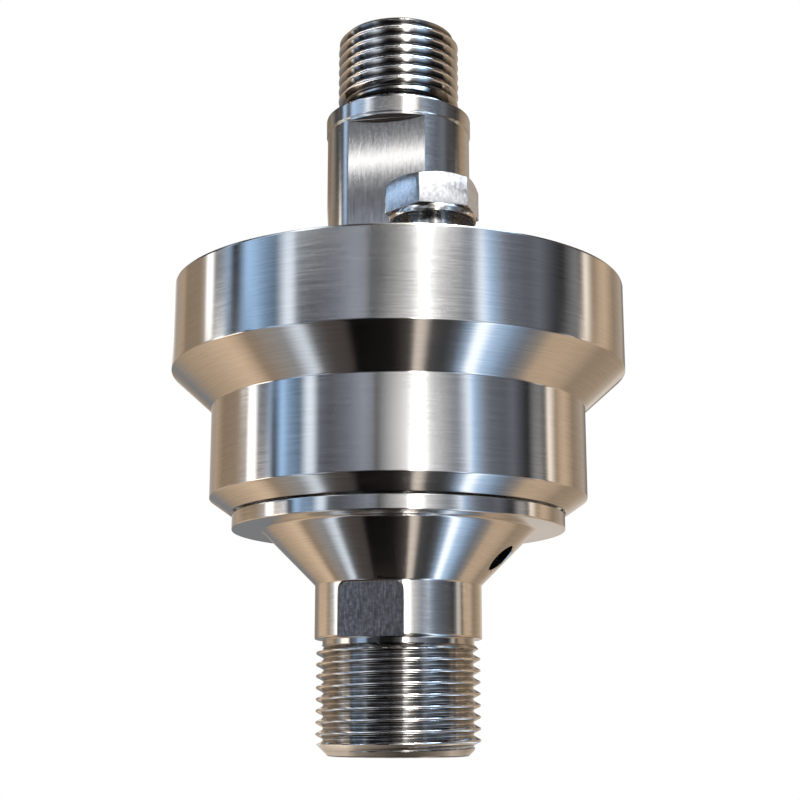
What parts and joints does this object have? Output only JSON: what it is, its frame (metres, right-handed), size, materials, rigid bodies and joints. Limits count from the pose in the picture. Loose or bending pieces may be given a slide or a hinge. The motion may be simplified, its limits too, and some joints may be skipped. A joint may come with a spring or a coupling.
{
  "type": "hydraulic swivel fitting",
  "caption": "Straight in-line swivel fitting: a coned shaft with a threaded outlet turns on ball bearings in a stepped round housing with a necked, threaded inlet.",
  "frame": {"origin": "centre of the outlet's end face, on the swivel axis", "axes": "+Z along the swivel axis from the outlet to the inlet; -Y towards the viewer of the picture; +X to the picture's right"},
  "size_m": [0.0754, 0.0754, 0.1226],
  "materials": {
    "stainless": "fine turned stainless steel",
    "bearing_steel": "ground bearing steel",
    "ball_steel": "polished",
    "plain_steel": "turned",
    "hard_steel": "ground and hardened",
    "spring_steel": "dark spring steel",
    "bronze": "turned bronze",
    "cage_plastic": "moulded polyamide",
    "seal_plastic": "machined seal plastic",
    "backup_plastic": "machined stiff plastic",
    "black_rubber": "moulded black rubber"
  },
  "bodies": {
    "outlet_side": {"outlet_shaft": "stainless", "lower_inner_ring": "bearing_steel", "upper_inner_ring": "bearing_steel", "inner_spacer": "plain_steel", "shaft_circlip": "spring_steel", "seal_support_ring": "seal_plastic", "high_pressure_seal": "seal_plastic", "seal_spring": "spring_steel", "seal_backup_ring": "backup_plastic", "lantern_ring": "bronze", "guide_bush": "bronze", "seal_retaining_ring": "spring_steel"},
    "inlet_side": {"housing": "stainless", "lower_outer_ring": "bearing_steel", "upper_outer_ring": "bearing_steel", "outer_spacer": "plain_steel", "shaft_wiper": "black_rubber", "inlet_cover": "stainless", "cover_o_ring": "black_rubber", "wear_tube": "hard_steel", "tube_o_ring": "black_rubber", "inlet_thread_o_ring": "black_rubber", "grease_plug": "stainless", "plug_seal_ring": "black_rubber"},
    "lower_ball_set": {"lower_balls": "ball_steel", "lower_cage": "cage_plastic"},
    "upper_ball_set": {"upper_balls": "ball_steel", "upper_cage": "cage_plastic"}
  },
  "joints": [
    {"name": "swivel", "type": "hinge", "parent": "outlet_side", "child": "inlet_side", "pos_m": [0, 0, 0.05513], "axis": [0, 0, 1], "continuous": true},
    {"name": "lower_ball_orbit", "type": "hinge", "parent": "outlet_side", "child": "lower_ball_set", "pos_m": [0, 0, 0.04763], "axis": [0, 0, 1], "continuous": true},
    {"name": "upper_ball_orbit", "type": "hinge", "parent": "outlet_side", "child": "upper_ball_set", "pos_m": [0, 0, 0.06263], "axis": [0, 0, 1], "continuous": true}
  ],
  "couplings": [
    {"joint": "lower_ball_orbit", "follows": "swivel", "ratio": 0.59917},
    {"joint": "upper_ball_orbit", "follows": "swivel", "ratio": 0.59917}
  ]
}
